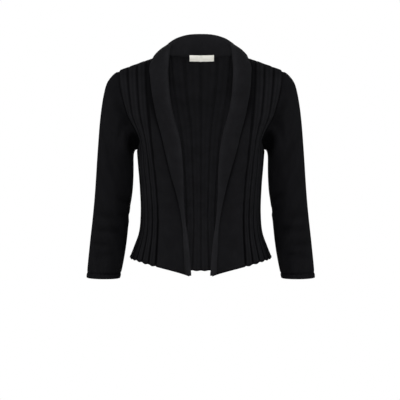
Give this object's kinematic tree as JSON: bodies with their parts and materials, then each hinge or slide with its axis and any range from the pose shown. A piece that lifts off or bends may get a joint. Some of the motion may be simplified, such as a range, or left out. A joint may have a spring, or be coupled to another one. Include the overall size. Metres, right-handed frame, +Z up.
{
  "type": "cropped cardigan",
  "caption": "Cropped open-front cardigan in black knit with a rolled shawl collar, ribbed sides, flared hem and three-quarter sleeves, hollow as worn.",
  "frame": {"origin": "middle of the neck base, where the wearer's neck and shoulders hold the garment up", "axes": "+Z up, -Y the way the wearer faces, +X the wearer's left"},
  "size_m": [0.5314, 0.2268, 0.5771],
  "materials": {
    "ribbed_knit": "black viscose-blend rib knit, matt",
    "plain_knit": "black fine plain knit, matt with a faint sheen",
    "collar_knit": "black double-layer fine knit, matt",
    "woven_label": "white woven satin ribbon, bare"
  },
  "bodies": {
    "root": {"back": "ribbed_knit", "front_left": "ribbed_knit", "front_right": "ribbed_knit", "sleeve_left": "plain_knit", "sleeve_right": "plain_knit", "collar": "collar_knit", "neck_label": "woven_label"}
  },
  "joints": []
}
